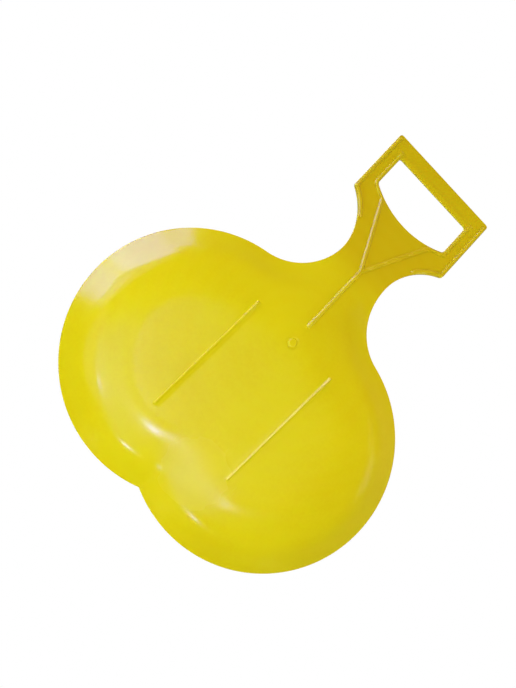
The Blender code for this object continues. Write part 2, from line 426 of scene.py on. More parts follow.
class RoundRib(Relief):
    """A rib with a round crest, a soft foot and round noses along a path of the plan."""

    FOOT = 0.7  # softness of the foot, in millimetres
    FOOT_SLOPE = 2.2
    LOOPS = (0.0, 0.4, 0.7, 0.88, 1.0, 1.16, 1.4)  # places of the cuts, in radii
    NOSE_REACH = 2.2  # reach of the cuts across a nose, in radii

    def __init__(self, path: list[Vector], width: float, sink: float, lengthwise: bool) -> None:
        """Store the path and its box.

        Args:
            path: Places along the rib's middle.
            width: Width of the rib's round section.
            sink: How far the middle of the section lies inside the sheet.
            lengthwise: Whether the sheet needs cuts along the rib, as it does off its rim.
        """
        self.path = path
        self.radius = width / 2
        self.sink = sink
        self.lengthwise = lengthwise
        margin = self.radius + 2 * self.FOOT
        self.low = [min(place[axis] for place in path) - margin for axis in range(2)]
        self.high = [max(place[axis] for place in path) + margin for axis in range(2)]

    def height(self, x: float, y: float) -> float:
        """Height of the round section, which runs out into the sheet with a soft foot.

        Args:
            x: Place along the slider.
            y: Place across the slider.

        Returns:
            The height in millimetres.
        """
        if not (self.low[0] < x < self.high[0] and self.low[1] < y < self.high[1]):
            return 0.0
        place = Vector((x, y, 0.0))
        away = min(off_run(place, *run) for run in zip(self.path, self.path[1:]))
        inside = max(self.radius**2 - away**2, 0.0)
        crown = sqrt(inside) - self.sink - self.FOOT_SLOPE * max(away - self.radius, 0.0)
        return max(soft_maximum(crown, 0.0, self.FOOT), 0.0)

    def cuts(self) -> list[Cut]:
        """Cuts along a straight rib, and across both noses.

        Returns:
            The cuts, in the order in which they are made.
        """
        cuts = []
        if self.lengthwise:
            start, end = self.path[0], self.path[-1]
            along = (end - start).normalized()
            reach = ((end - start).length / 2 + 2 * self.radius, 2 * self.radius)
            offsets = [side * loop * self.radius for loop in self.LOOPS for side in (1, -1)]
            cuts += [Cut((start + end) / 2, along, reach, offset) for offset in offsets[1:]]
        for tip, neighbour in ((self.path[0], self.path[1]), (self.path[-1], self.path[-2])):
            outward = (tip - neighbour).normalized()
            across = Vector((-outward.y, outward.x, 0.0))
            near = self.NOSE_REACH * self.radius
            cuts += [Cut(tip, across, (near, near), -loop * self.radius) for loop in self.LOOPS]
        return cuts


@dataclass(frozen=True)
class Swell(Relief):
    """A low straight bead that swells softly out of the sheet, from one end to the other."""

    start: Vector
    end: Vector
    width: float
    rise: float

    def height(self, x: float, y: float) -> float:
        """Height of the bead, which fades out all round."""
        away = off_run(Vector((x, y, 0.0)), self.start, self.end) / (self.width / 2)
        return self.rise * (1 + cos(pi * away)) / 2 if away < 1 else 0.0

    def cuts(self) -> list[Cut]:
        """None: the rings along the opening are fine enough for it."""
        return []


@dataclass(frozen=True)
class Runner(Relief):
    """A straight runner with a flat crest on the ground and sloped sides and ends."""

    sizes: SliderSizes
    sheet: SheetForm
    side: Side

    FOOT = 0.35  # softness of the edges
    LOOPS = (0.0, 0.5, 0.7, 0.9, 1.1, 1.35, 1.8)  # places of the cuts along the runner
    OVERRUN = 3.0
    REACH = 2.5
    END_LOOPS = (-0.5, 0.0, 0.5, 1.0, 1.5, 2.0)  # places of the cuts across an end
    END_REACH = (3.5, 4.0)

    def height(self, x: float, y: float) -> float:
        """Height down to the ground on the crest, and on the sloped sides and ends.

        Args:
            x: Place along the slider.
            y: Place across the slider.

        Returns:
            The height in millimetres.
        """
        s = self.sizes
        off_middle = abs(y - self.side.value * s.runner_spacing / 2)
        off_length = abs(x - s.runner_middle)
        if off_middle > s.runner_root or off_length > s.runner_length / 2 + s.runner_root:
            return 0.0
        full = self.sheet.underside(x, y)
        flank = (s.runner_root / 2 - off_middle) / ((s.runner_root - s.runner_crest) / 2)
        end = (s.runner_length / 2 - off_length) / s.runner_end_slope
        rise = min(flank, end) * s.runner_height
        rise = full - soft_maximum(full - rise, 0.0, self.FOOT / 2)
        return max(soft_maximum(rise, 0.0, self.FOOT), 0.0)

    def cuts(self) -> list[Cut]:
        """Cuts along both flanks and across both ends.

        Returns:
            The cuts, in the order in which they are made.
        """
        s = self.sizes
        centre = Vector((s.runner_middle, self.side.value * s.runner_spacing / 2, 0.0))
        reach = (s.runner_length / 2 + self.OVERRUN, self.REACH)
        lines = [Cut(centre, Axis.X.value, reach, sign * loop)
                 for loop in self.LOOPS for sign in (1, -1)][1:]
        for sign in (1, -1):
            tip = centre + Axis.X.value * (sign * s.runner_length / 2)
            lines += [Cut(tip, Axis.Y.value, self.END_REACH, sign * loop)
                      for loop in self.END_LOOPS]
        return lines


@dataclass(frozen=True)
class GateMark(Relief):
    """The round stub where the plastic entered the mould, in a shallow round recess."""

    sizes: SliderSizes
    cell: float

    RECESS_RADIUS = 7.4
    RECESS_DEPTH = 0.35
    RECESS_SIDE = 2.4  # run of the recess's sloped side
    STUB_SLOPE = 4.0
    MARGIN = 1.5  # how far the cuts pass the recess

    def height(self, x: float, y: float) -> float:
        """Height of the stub inside its recess.

        Args:
            x: Place along the slider.
            y: Place across the slider.

        Returns:
            The height in millimetres, negative in the recess.
        """
        s = self.sizes
        away = hypot(x - s.gate_position, y)
        if away > self.RECESS_RADIUS:
            return 0.0
        bowl = min((self.RECESS_RADIUS - away) / self.RECESS_SIDE, 1.0)
        recess = -self.RECESS_DEPTH * bowl * bowl * (3 - 2 * bowl)
        flank = (s.gate_diameter / 2 - away) * self.STUB_SLOPE
        stub = soft_minimum(flank, s.gate_height, s.gate_edge)
        return soft_maximum(stub, recess, s.gate_edge)

    def cuts(self) -> list[Cut]:
        """An even fine grid of cuts over the recess.

        Returns:
            The cuts, in the order in which they are made.
        """
        centre = Vector((self.sizes.gate_position, 0.0, 0.0))
        reach = self.RECESS_RADIUS + self.MARGIN
        count = ceil(reach / self.cell)
        return [Cut(centre, axis.value, (reach, reach), index * self.cell)
                for axis in Axis for index in range(-count, count + 1)]


class Pen:
    """Draws a closed outline in the plan out of spun arcs and straight runs."""

    LEAST_STEPS = 2

    def __init__(self, bm: BMesh, start: Pair, step: float) -> None:
        """Put the pen down at the start.

        Args:
            bm: Empty mesh to draw in.
            start: Where the outline starts.
            step: Longest step of a drawn edge.
        """
        self.bm = bm
        self.step = step
        self.first = bm.verts.new((*start, 0.0))
        self.tip = self.first

    def arc(self, centre: Pair, angle: float) -> None:
        """Draw an arc about a centre, anticlockwise for a positive angle.

        Args:
            centre: Centre of the arc.
            angle: Angle that it turns through, in radians.
        """
        radius = (self.tip.co - Vector((*centre, 0.0))).length
        steps = max(self.LEAST_STEPS, ceil(radius * abs(angle) / self.step))
        spun = bmesh.ops.spin(self.bm, geom=[self.tip], cent=(*centre, 0.0), axis=(0.0, 0.0, 1.0),
                              angle=angle, steps=steps, use_merge=False, use_duplicate=False)
        self.tip = next(item for item in spun["geom_last"] if isinstance(item, BMVert))

    def line(self, end: Pair) -> None:
        """Draw a straight run to a place, divided into even steps.

        Args:
            end: Where the run ends.
        """
        run = Vector((*end, 0.0)) - self.tip.co
        steps = ceil(run.length / self.step)
        for _ in range(steps):
            drawn = bmesh.ops.extrude_vert_indiv(self.bm, verts=[self.tip])
            bmesh.ops.translate(self.bm, verts=drawn["verts"], vec=run / steps)
            self.tip = drawn["verts"][0]

    def close(self) -> None:
        """Join the last place with the first and fill the outline with one face."""
        self.bm.edges.new((self.tip, self.first))
        bmesh.ops.contextual_create(self.bm, geom=self.bm.verts[:] + self.bm.edges[:])


@dataclass
class SliderShell:
    """The one moulded piece: pan, neck and grip with their ribs, runners and rails."""

    sizes: SliderSizes
    fineness: MeshFineness
    sheet: SheetForm
    bm: BMesh = field(default_factory=bmesh.new)

    RING_CORNERS = 4  # most corners of a ring's face: the middle, not yet sliced, has more
    RING, MIDDLE = 0, 1  # marks of the faces while they are sliced

    @cached_property
    def reliefs(self) -> list[Relief]:
        """Every raised or sunk form.

        Returns:
            The forms, in the order in which the sheet is cut for them.
        """
        s = self.sizes
        fork = Vector((s.fork_position, 0.0, 0.0))
        stem_start = Vector((s.stem_start + s.stem_width / 2, 0.0, 0.0))
        arm_y = s.fork_spread / 2
        arm_x = s.bow_x - sqrt((s.bow_radius + s.opening_rail_inset) ** 2 - arm_y**2)
        bead_x, bead_y = s.opening_front_x + s.bead_inset, s.opening_y - s.bead_gap
        bead_ends = [Vector((bead_x, side * bead_y, 0.0)) for side in (-1, 1)]
        forms = [GateMark(s, self.fineness.gate_cell),
                 RoundRib([stem_start, fork], s.stem_width, s.rib_sink, True),
                 Swell(*bead_ends, s.bead_width, s.bead_height)]
        for side in Side:
            arm_end = Vector((arm_x, side.value * arm_y, 0.0))
            forms += [Runner(s, self.sheet, side),
                      RoundRib([fork, arm_end], s.arm_width, s.rib_sink, True),
                      *self.rails(side)]
        return forms

    def rails(self, side: Side) -> list[RoundRib]:
        """The grip's rails of one side, each a straight run to a corner and an arc on from it.

        Args:
            side: Side of the middle plane.

        Returns:
            The rail along the grip's edge and into the bay, and the one round the opening's end.
        """
        s = self.sizes
        edge_y, end_y = s.handle_y - s.edge_rail_inset, s.opening_y + s.opening_rail_inset
        bay_radius = s.bay_radius + s.edge_rail_inset
        bow_radius = s.bow_radius + s.opening_rail_inset
        edge_x = s.bay_x + sqrt(bay_radius**2 - (s.bay_y - edge_y) ** 2)
        edge, bay = Vector((edge_x, edge_y, 0.0)), Vector((s.bay_x, s.bay_y, 0.0))
        end_x = s.bow_x - sqrt(bow_radius**2 - end_y**2)
        end, bow = Vector((end_x, end_y, 0.0)), Vector((s.bow_x, 0.0, 0.0))
        arm_y = s.fork_spread / 2
        to_arm = atan2(arm_y, -sqrt(bow_radius**2 - arm_y**2)) - atan2(end_y, end.x - s.bow_x)
        edge_start = s.grip_x - s.edge_rail_gap
        end_start = s.opening_front_x + s.opening_rail_overrun
        rails = []
        for start_x, corner, centre, sweep, width in (
                (edge_start, edge, bay, -s.edge_rail_sweep, s.edge_rail_width),
                (end_start, end, bow, to_arm, s.opening_rail_width)):
            count = ceil(abs(sweep) * (corner - centre).length / self.fineness.path_step)
            turns = [Matrix.Rotation(sweep * index / count, 3, "Z") for index in range(count + 1)]
            path = [Vector((start_x, corner.y, 0.0))]
            path += [centre + turn @ (corner - centre) for turn in turns]
            placed = [Vector((place.x, side.value * place.y, 0.0)) for place in path]
            rails.append(RoundRib(placed, width, s.rib_sink, False))
        return rails

    def draw_outline(self) -> None:
        """Draw one half of the plan as a face, mirror it and round the corners."""
        s = self.sizes
        to_notch = pi + atan2(s.lobe_y, -s.notch_x)
        to_bay = atan2(s.bay_y - s.lobe_y, s.bay_x)
        to_shoulder = 2 * pi + atan2(s.handle_y - s.bay_y, s.shoulder_x - s.bay_x)
        bow_angle = atan2(s.opening_y, s.bow_x - s.opening_back_x)
        pen = Pen(self.bm, (s.notch_x, 0.0), self.fineness.outline_step)
        pen.arc((0.0, s.lobe_y), to_bay - to_notch)
        pen.arc((s.bay_x, s.bay_y), to_shoulder - to_bay - pi)
        pen.line((s.grip_x, s.handle_y))
        pen.line((s.grip_x, 0.0))
        pen.line((s.opening_front_x, 0.0))
        pen.line((s.opening_front_x, s.opening_y))
        pen.line((s.opening_back_x, s.opening_y))
        pen.arc((s.bow_x, 0.0), bow_angle)
        pen.close()
        whole = self.bm.verts[:] + self.bm.edges[:] + self.bm.faces[:]
        bmesh.ops.mirror(self.bm, geom=whole, axis="Y", merge_dist=self.fineness.outline_merge)
        for side in Side:
            for x, y, radius in ((s.shoulder_x, s.handle_y, s.shoulder_radius),
                                 (s.grip_x, s.handle_y, s.grip_corner_radius),
                                 (s.opening_front_x, s.opening_y, s.opening_corner_radius),
                                 (s.opening_back_x, s.opening_y, s.opening_corner_radius)):
                self.round_corner(Vector((x, side.value * y, 0.0)), radius)

    def round_corner(self, place: Vector, radius: float) -> None:
        """Round the outline's corner at a place.

        Args:
            place: The corner.
            radius: Radius that it gets.
        """
        corner = min(self.bm.verts, key=lambda vert: (vert.co - place).length)
        bmesh.ops.bevel(self.bm, geom=[corner], offset=radius, offset_type="OFFSET",
                        segments=self.fineness.corner_segments, profile=0.5, affect="VERTICES",
                        clamp_overlap=False, material=-1)

    def line_the_rim(self) -> None:
        """Lay rings of even faces along the rim and the opening, as the rails need them."""
        depth = 0.0
        for ring_depth in self.fineness.rim_rings:
            middle = [face for face in self.bm.faces if len(face.verts) > self.RING_CORNERS]
            bmesh.ops.inset_region(self.bm, faces=middle, thickness=ring_depth - depth,
                                   use_boundary=True, use_even_offset=True)
            depth = ring_depth
            inner = distinct(vert for face in middle if face.is_valid for vert in face.verts)
            bmesh.ops.remove_doubles(self.bm, verts=inner, dist=self.fineness.ring_merge)

    def slice_evenly(self) -> None:
        """Slice the middle into even cells, then line it up with the reliefs."""
        s = self.sizes
        for face in self.bm.faces:
            sliced = len(face.verts) > self.RING_CORNERS
            face.material_index = self.MIDDLE if sliced else self.RING
        half_width = s.lobe_y + s.lobe_radius
        spans = ((Axis.X, -s.lobe_radius, s.grip_x), (Axis.Y, -half_width, half_width))
        for axis, low, high in spans:
            count = ceil((high - low) / self.fineness.cell)
            for index in range(1, count):
                place = axis.value * (low + (high - low) * index / count)
                middle = [face for face in self.bm.faces if face.material_index == self.MIDDLE]
                self.bisect(middle, place, axis.value)
        for relief in self.reliefs:
            for cut in relief.cuts():
                near = [face for face in self.bm.faces if cut.holds(face.calc_center_median())]
                self.bisect(near, cut.centre + cut.across * cut.offset, cut.across)
        inner = [vert for vert in self.bm.verts if not vert.is_boundary]
        bmesh.ops.remove_doubles(self.bm, verts=inner, dist=self.fineness.cell_merge)
        bmesh.ops.dissolve_degenerate(self.bm, dist=self.fineness.least_edge,
                                      edges=self.bm.edges[:])

    def bisect(self, faces: list[BMFace], place: Vector, normal: Vector) -> None:
        """Cut faces along an upright plane.

        Args:
            faces: The faces to cut.
            place: A place on the plane.
            normal: Direction square to the plane.
        """
        edges = distinct(edge for face in faces for edge in face.edges)
        verts = distinct(vert for face in faces for vert in face.verts)
        bmesh.ops.bisect_plane(self.bm, geom=faces + edges + verts, dist=self.fineness.cut_snap,
                               plane_co=place, plane_no=normal)

    def press(self) -> None:
        """Press the flat sheet to its heights and thicken it towards the seat."""
        for vert in self.bm.verts:
            vert.co.z = self.sheet.underside(vert.co.x, vert.co.y)
        bmesh.ops.recalc_face_normals(self.bm, faces=self.bm.faces[:])
        self.bm.normal_update()
        if sum(face.normal.z * face.calc_area() for face in self.bm.faces) > 0:
            bmesh.ops.reverse_faces(self.bm, faces=self.bm.faces[:])
        bmesh.ops.solidify(self.bm, geom=self.bm.faces[:], thickness=self.sizes.wall)
        self.bm.normal_update()

    def round_rim(self) -> None:
        """Round both edges of the rim and of the opening."""
        least = self.fineness.sharp_angle
        sharp = [edge for edge in self.bm.edges if edge.calc_face_angle(0.0) > least]
        bmesh.ops.bevel(self.bm, geom=sharp, offset=self.sizes.edge_radius, offset_type="OFFSET",
                        segments=self.fineness.edge_segments, profile=0.5, affect="EDGES",
                        clamp_overlap=True, material=-1)

    def raise_reliefs(self) -> None:
        """Raise the ribs, runners, rails and gate mark out of the sliding side."""
        for vert in self.bm.verts:
            x, y, z = vert.co
            if z - self.sheet.underside(x, y) > self.sizes.wall / 2:
                continue
            heights = [relief.height(x, y) for relief in self.reliefs]
            lift = max(heights) if max(heights) > 0 else min(heights)
            if lift:
                vert.co += self.sheet.outward(x, y) * lift

    def build(self, material: bpy.types.Material) -> bpy.types.Object:
        """Make the finished piece.

        Args:
            material: Material of the moulding.

        Returns:
            The object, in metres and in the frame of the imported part.
        """
        self.draw_outline()
        self.line_the_rim()
        self.slice_evenly()
        self.press()
        self.round_rim()
        self.raise_reliefs()
        bmesh.ops.translate(self.bm, vec=(-self.sizes.middle_x, 0.0, 0.0), verts=self.bm.verts)
        bmesh.ops.scale(self.bm, vec=(MM, MM, MM), verts=self.bm.verts)
        for face in self.bm.faces:
            face.material_index = 0
            face.smooth = True
        mesh = bpy.data.meshes.new(SHELL_NODE)
        self.bm.to_mesh(mesh)
        self.bm.free()
        mesh.materials.append(material)
        piece = bpy.data.objects.new("slider_moulding", mesh)
        bpy.context.scene.collection.objects.link(piece)
        return piece


def linear_colour(hex_colour: str) -> tuple[float, float, float, float]:
    """Turn an sRGB hex colour into linear RGBA.

    Args:
        hex_colour: Six hexadecimal digits after a hash sign.

    Returns:
        Red, green, blue and an alpha of 1.
    """
    levels = [int(hex_colour[start:start + 2], 16) / 255 for start in (1, 3, 5)]
    linear = [level / 12.92 if level <= 0.04045 else ((level + 0.055) / 1.055) ** 2.4
              for level in levels]
    return (*linear, 1.0)


@dataclass(frozen=True)
class PolyethyleneFinish:
    """Look of injection-moulded polyethylene.

    A noise pattern is given by the size of its spots in millimetres and by how many finer layers it
    has. A ramp is given by the range of its pattern and by what the two ends of it become. Its
    ranges along the slider, over the ground and round a place are in metres.
    """

    # Pigment: as mixed, thin or rubbed away, and dense; and painted shade on the neck, less on the
    # grip
    colour: str = "#E6D813"
    pale_colour: str = "#EBDD2A"
    deep_colour: str = "#E2D00F"
    neck_shade_colour: str = "#DFC911"
    clouds: Pair = (85.0, 2.0)
    speckles: Pair = (3.0, 1.0)
    speckle_share: float = 0.25
    deep_ramp: Ramp = (0.3, 0.62, 0.9, 0.0)
    # Painted shade: where it grows along the slider onto the neck, and how far it fades on the grip
    neck_shade_ramp: Ramp = (0.055, 0.105, 0.0, 1.0)
    grip_shade_ramp: Ramp = (0.14, 0.21, 1.0, 0.2)

    # Flow rings round the gate: spacing in millimetres, then how far and how finely they waver
    flow_spacing: float = 15.0
    flow_wobble: float = 2.4
    flow_layers: float = 2.0
    flow_layer_scale: float = 0.35
    flow_paleness: float = 0.08

    # Rubbed edges and rib crests, found by their Pointiness, in patches
    rubbed_ramp: Ramp = (0.505, 0.55, 0.0, 1.0)
    rubbed_patches: Pair = (14.0, 3.0)
    rubbed_patch_ramp: Ramp = (0.35, 0.65, 0.5, 1.0)
    rubbed_paleness: float = 0.8
    rubbed_roughness: float = 0.3

    # Sliding scratches, by length and width, and how high over the ground they are found
    scratch_size: Pair = (60.0, 0.9)
    scratch_layers: float = 2.0
    scratch_ramp: Ramp = (0.62, 0.72, 0.0, 1.0)
    scratch_height_ramp: Ramp = (0.0018, 0.006, 1.0, 0.0)
    scratch_roughness: float = 0.07

    # Gloss: a specular level for an index of about 1.5, and the roughness of the skin's patches
    specular: float = 0.5
    gloss_patches: Pair = (24.0, 3.0)
    gloss_flow_share: float = 0.2
    gloss_ramp: Ramp = (0.3, 0.7, 0.16, 0.19)

    # Patch by the notch where the skin came off the mould dull, by its middle in metres
    dull_place: Triple = (-0.173, 0.025, 0.003)
    dull_ramp: Ramp = (0.026, 0.052, 0.14, 0.0)

    # Relief: slight waves of the sheet, grain of the skin and scratches, with depths in millimetres
    waves: Pair = (42.0, 1.0)
    wave_depth: float = 0.1
    grain: Pair = (1.3, 2.0)
    grain_depth: float = 0.003
    scratch_depth: float = 0.006

    # Light that enters the plastic: its share, and how far it goes, in metres
    subsurface: float = 0.08
    subsurface_depth: float = 0.002


@dataclass(frozen=True)
class StudioFinish:
    """Colours and strengths of the studio's floor and surroundings."""

    floor: str = WHITE
    light_above: str = WHITE
    light_below: str = "#FFDDB0"
    sky: str = "#9FA8FF"
    haze: str = "#6F78FF"
    horizon_blur: float = 0.3
    ambient_strength: float = 0.2
    mirrored_above: float = 0.4
    mirrored_below: float = 0.06
    floor_reach: float = 4.0
    floor_gap: float = 0.2


class NodePlan:
    """Adds shader nodes to one node tree."""

    def __init__(self, tree: bpy.types.NodeTree) -> None:
        """Store the tree and empty it."""
        self.tree = tree
        self.tree.nodes.clear()

    def add(self, kind: str, settings: dict[str, Any] | None = None,
            inputs: dict[str | int, Any] | tuple | None = None) -> bpy.types.ShaderNode:
        """Add one node with its settings, values and links.

        Args:
            kind: Type of the node.
            settings: Properties to set on the node.
            inputs: A value, output socket or node for each input, by name or number or in order. A
                node stands for its first output.

        Returns:
            The node.
        """
        node = self.tree.nodes.new(kind)
        for name, value in (settings or {}).items():
            setattr(node, name, value)
        for key, value in inputs.items() if isinstance(inputs, dict) else enumerate(inputs or ()):
            source = value.outputs[0] if isinstance(value, bpy.types.Node) else value
            if isinstance(source, bpy.types.NodeSocket):
                self.tree.links.new(source, node.inputs[key])
            else:
                node.inputs[key].default_value = source
        return node


class PolyethyleneMaterial:
    """Injection-moulded polyethylene, pigmented yellow.

    Light enters this plastic a little before it comes back, so its colour is deep and its shadows
    are soft and warm, and the skin copied from the mould has a waxy gloss that is never a mirror.
    """

    def __init__(self, finish: PolyethyleneFinish, sizes: SliderSizes) -> None:
        """Start the material with the place on the piece and its noise patterns.

        Args:
            finish: Look of the plastic.
            sizes: Sizes of the slider, which place the gate.
        """
        self.finish = finish
        self.sizes = sizes
        self.material = bpy.data.materials.new("injection_moulded_polyethylene")
        self.material.use_nodes = True
        self.plan = NodePlan(self.material.node_tree)
        self.place = self.plan.add("ShaderNodeTexCoord").outputs["Object"]
        spots = {"clouds": finish.clouds, "speckles": finish.speckles, "waves": finish.waves,
                 "grain": finish.grain, "gloss": finish.gloss_patches,
                 "rubbed": finish.rubbed_patches}
        self.noise = {name: self.plan.add("ShaderNodeTexNoise", inputs={
            "Vector": self.place,
            "Scale": 1.0 / (size * MM),
            "Detail": layers,
        }) for name, (size, layers) in spots.items()}
        self.flow = self.flow_rings()
        self.rubbed = self.rubbed_edges()
        self.scratched = self.scratches()

    def flow_rings(self) -> Pattern:
        """Faint rings where the melt's front paused on its way from the gate.

        Returns:
            The pattern, from 0 to 1.
        """
        gate = (self.sizes.gate_position - self.sizes.middle_x) * MM
        centred = self.plan.add("ShaderNodeMapping", inputs={
            "Vector": self.place,
            "Location": (-gate, 0.0, 0.0),
            "Scale": (1.0, 1.0, 0.0),
        })
        rings = {"wave_type": "RINGS", "rings_direction": "SPHERICAL"}
        spacing_at_scale_one = pi / 10
        return self.plan.add("ShaderNodeTexWave", rings, {
            "Vector": centred,
            "Scale": spacing_at_scale_one / (self.finish.flow_spacing * MM),
            "Distortion": self.finish.flow_wobble,
            "Detail": self.finish.flow_layers,
            "Detail Scale": self.finish.flow_layer_scale,
        }).outputs["Fac"]

    def rubbed_edges(self) -> Pattern:
        """Edges and rib crests, which hands and snow rub first.

        Returns:
            The pattern, 1 where the skin is rubbed most.
        """
        add, finish = self.plan.add, self.finish
        crests = add("ShaderNodeNewGeometry").outputs["Pointiness"]
        rubbed = add("ShaderNodeMapRange", SMOOTH, (crests, *finish.rubbed_ramp))
        patches = add("ShaderNodeMapRange", SMOOTH,
                      (self.noise["rubbed"], *finish.rubbed_patch_ramp))
        return add("ShaderNodeMath", {"operation": "MULTIPLY"}, (rubbed, patches))

    def scratches(self) -> Pattern:
        """Fine sliding scratches along the slider, on what runs over snow.

        Returns:
            The pattern, 1 in the middle of a scratch.
        """
        add, finish = self.plan.add, self.finish
        length, width = finish.scratch_size
        drawn_out = add("ShaderNodeMapping", inputs={
            "Vector": self.place,
            "Scale": (width / length, 1.0, 1.0),
        })
        streaks = add("ShaderNodeTexNoise", inputs={
            "Vector": drawn_out,
            "Scale": 1.0 / (width * MM),
            "Detail": finish.scratch_layers,
        })
        height = add("ShaderNodeSeparateXYZ", inputs=(self.place,)).outputs["Z"]
        lines = add("ShaderNodeMapRange", SMOOTH, (streaks, *finish.scratch_ramp))
        low = add("ShaderNodeMapRange", SMOOTH, (height, *finish.scratch_height_ramp))
        return add("ShaderNodeMath", {"operation": "MULTIPLY"}, (lines, low))

    def colour(self) -> Pattern:
        """Pigment in soft clouds and fine grain, paler where it is rubbed, with painted shade
        darkening the neck.

        Returns:
            The colour.
        """
        add, finish = self.plan.add, self.finish
        mottled = add("ShaderNodeMix", inputs={
            0: finish.speckle_share,
            2: self.noise["clouds"],
            3: self.noise["speckles"],
        })
        along = add("ShaderNodeSeparateXYZ", inputs=(self.place,)).outputs["X"]
        deep, neck, grip = [add("ShaderNodeMapRange", SMOOTH, (source, *ramp)) for source, ramp in (
            (mottled, finish.deep_ramp), (along, finish.neck_shade_ramp), (along, finish.grip_shade_ramp))]
        # Painted shade darkens the neck's colour and fades again towards the grip
        painted_neck_shade, flowed, worn = [
            add("ShaderNodeMath", {"operation": "MULTIPLY"}, pair) for pair in (
                (neck, grip), (self.flow, finish.flow_paleness),
                (self.rubbed, finish.rubbed_paleness))]
        paler = add("ShaderNodeMath", {"operation": "MAXIMUM"}, (flowed, worn))
        tone = linear_colour(finish.colour)
        for share, other in ((deep, finish.deep_colour), (painted_neck_shade, finish.neck_shade_colour),
                             (paler, finish.pale_colour)):
            tone = add("ShaderNodeMix", {"data_type": "RGBA"}, {
                0: share,
                6: tone,
                7: linear_colour(other),
            }).outputs[2]
        return tone

    def roughness(self) -> Pattern:
        """Waxy gloss in patches, duller by the notch, on rubbed edges and in scratches.

        Returns:
            The roughness.
        """
        add, finish = self.plan.add, self.finish
        patches = add("ShaderNodeMix", inputs={
            0: finish.gloss_flow_share,
            2: self.noise["gloss"],
            3: self.flow,
        })
        away = add("ShaderNodeVectorMath", {"operation": "DISTANCE"},
                   (self.place, finish.dull_place)).outputs["Value"]
        skin = add("ShaderNodeMapRange", SMOOTH, (patches, *finish.gloss_ramp))
        for pattern, share in ((add("ShaderNodeMapRange", SMOOTH, (away, *finish.dull_ramp)), 1.0),
                               (self.rubbed, finish.rubbed_roughness),
                               (self.scratched, finish.scratch_roughness)):
            skin = add("ShaderNodeMath", {"operation": "MULTIPLY_ADD"}, (pattern, share, skin))
        return skin

    def bump(self) -> Pattern:
        """Slight waves of the sheet, grain of the mould's skin, and scratches.

        The real grain is about 0.2 mm and the scratches 0.1 mm wide. A pixel of the photograph's
        view is 1 mm, so both are drawn coarser than they are, to show at all.

        Returns:
            The normal.
        """
        normal: dict[str, Pattern] = {}
        for height, depth, sunk in ((self.noise["waves"], self.finish.wave_depth, False),
                                    (self.noise["grain"], self.finish.grain_depth, False),
                                    (self.scratched, self.finish.scratch_depth, True)):
            relief = {"Distance": depth * MM, "Height": height, **normal}
            normal = {"Normal": self.plan.add("ShaderNodeBump", {"invert": sunk}, relief)}
        return normal["Normal"]

    def build(self) -> bpy.types.Material:
        """Join the patterns in one shader.

        Returns:
            The finished material.
        """
        shader = self.plan.add("ShaderNodeBsdfPrincipled", inputs={
            "Base Color": self.colour(),
            "Roughness": self.roughness(),
            "Normal": self.bump(),
            "Specular IOR Level": self.finish.specular,
            "Subsurface Weight": self.finish.subsurface,
            "Subsurface Scale": self.finish.subsurface_depth,
        })
        self.plan.add("ShaderNodeOutputMaterial", inputs={"Surface": shader})
        return self.material


class LampUse(Enum):
    """What a lamp does to the slider."""

    LIGHTS = "lights its surface"
    SHINES = "is mirrored in it"


@dataclass(frozen=True)
class PhotoCamera:
    """The photograph's camera, which looks up at the sliding side."""

    place: Triple = (-0.66931, -0.43107, -3.83043)
    right: Triple = (0.7094, 0.6791, -0.1888)
    down: Triple = (-0.6862, 0.7266, 0.0352)
    focal_length: float = 209.3
    sensor: float = 36.0

    def axes(self) -> tuple[Vector, Vector, Vector]:
        """Directions right, up and near in the photograph.

        Returns:
            Three directions of length 1.
        """
        right = Vector(self.right).normalized()
        near = right.cross(-Vector(self.down)).normalized()
        return right, near.cross(right), near

    def build(self) -> None:
        """Set the camera up and make it the scene's camera."""
        data = bpy.data.cameras.new("photo_camera")
        data.lens = self.focal_length
        data.sensor_width = self.sensor
        camera = bpy.data.objects.new("photo_camera", data)
        turn = Matrix(self.axes()).transposed()
        camera.matrix_world = Matrix.Translation(Vector(self.place)) @ turn.to_4x4()
        bpy.context.scene.collection.objects.link(camera)
        bpy.context.scene.camera = camera


@dataclass(frozen=True)
class Lamp:
    """One soft lamp of the studio.

    Attributes:
        name: Name of the lamp.
        bearing: Its direction from the slider: right, up and near, as the photographer sees it.
        distance: Its distance from the slider, in metres.
        size: Width and height of its screen, in metres.
        power: Power in watts.
        colour: Colour of its light.
        use: What it does to the slider.
    """

    name: str
    bearing: Triple
    distance: float
    size: Pair
    power: float
    colour: str
    use: LampUse

    def build(self, camera: PhotoCamera) -> None:
        """Hang the lamp upright for the photographer and turn it to the slider.

        Args:
            camera: The camera whose right, up and near the bearing is measured in.
        """
        light = bpy.data.lights.new(self.name, "AREA")
        light.shape = "ELLIPSE"
        light.size, light.size_y = self.size
        light.energy = self.power
        light.color = linear_colour(self.colour)[:3]
        lamp = bpy.data.objects.new(self.name, light)
        right, up, near = camera.axes()
        rightward, upward, nearward = self.bearing
        back = (right * rightward + up * upward + near * nearward).normalized()
        across = up.cross(back).normalized()
        turn = Matrix((across, back.cross(across), back)).transposed()
        lamp.matrix_world = Matrix.Translation(back * self.distance) @ turn.to_4x4()
        lamp.visible_camera = False
        lamp.visible_diffuse = self.use is LampUse.LIGHTS
        lamp.visible_glossy = self.use is LampUse.SHINES
        bpy.context.scene.collection.objects.link(lamp)


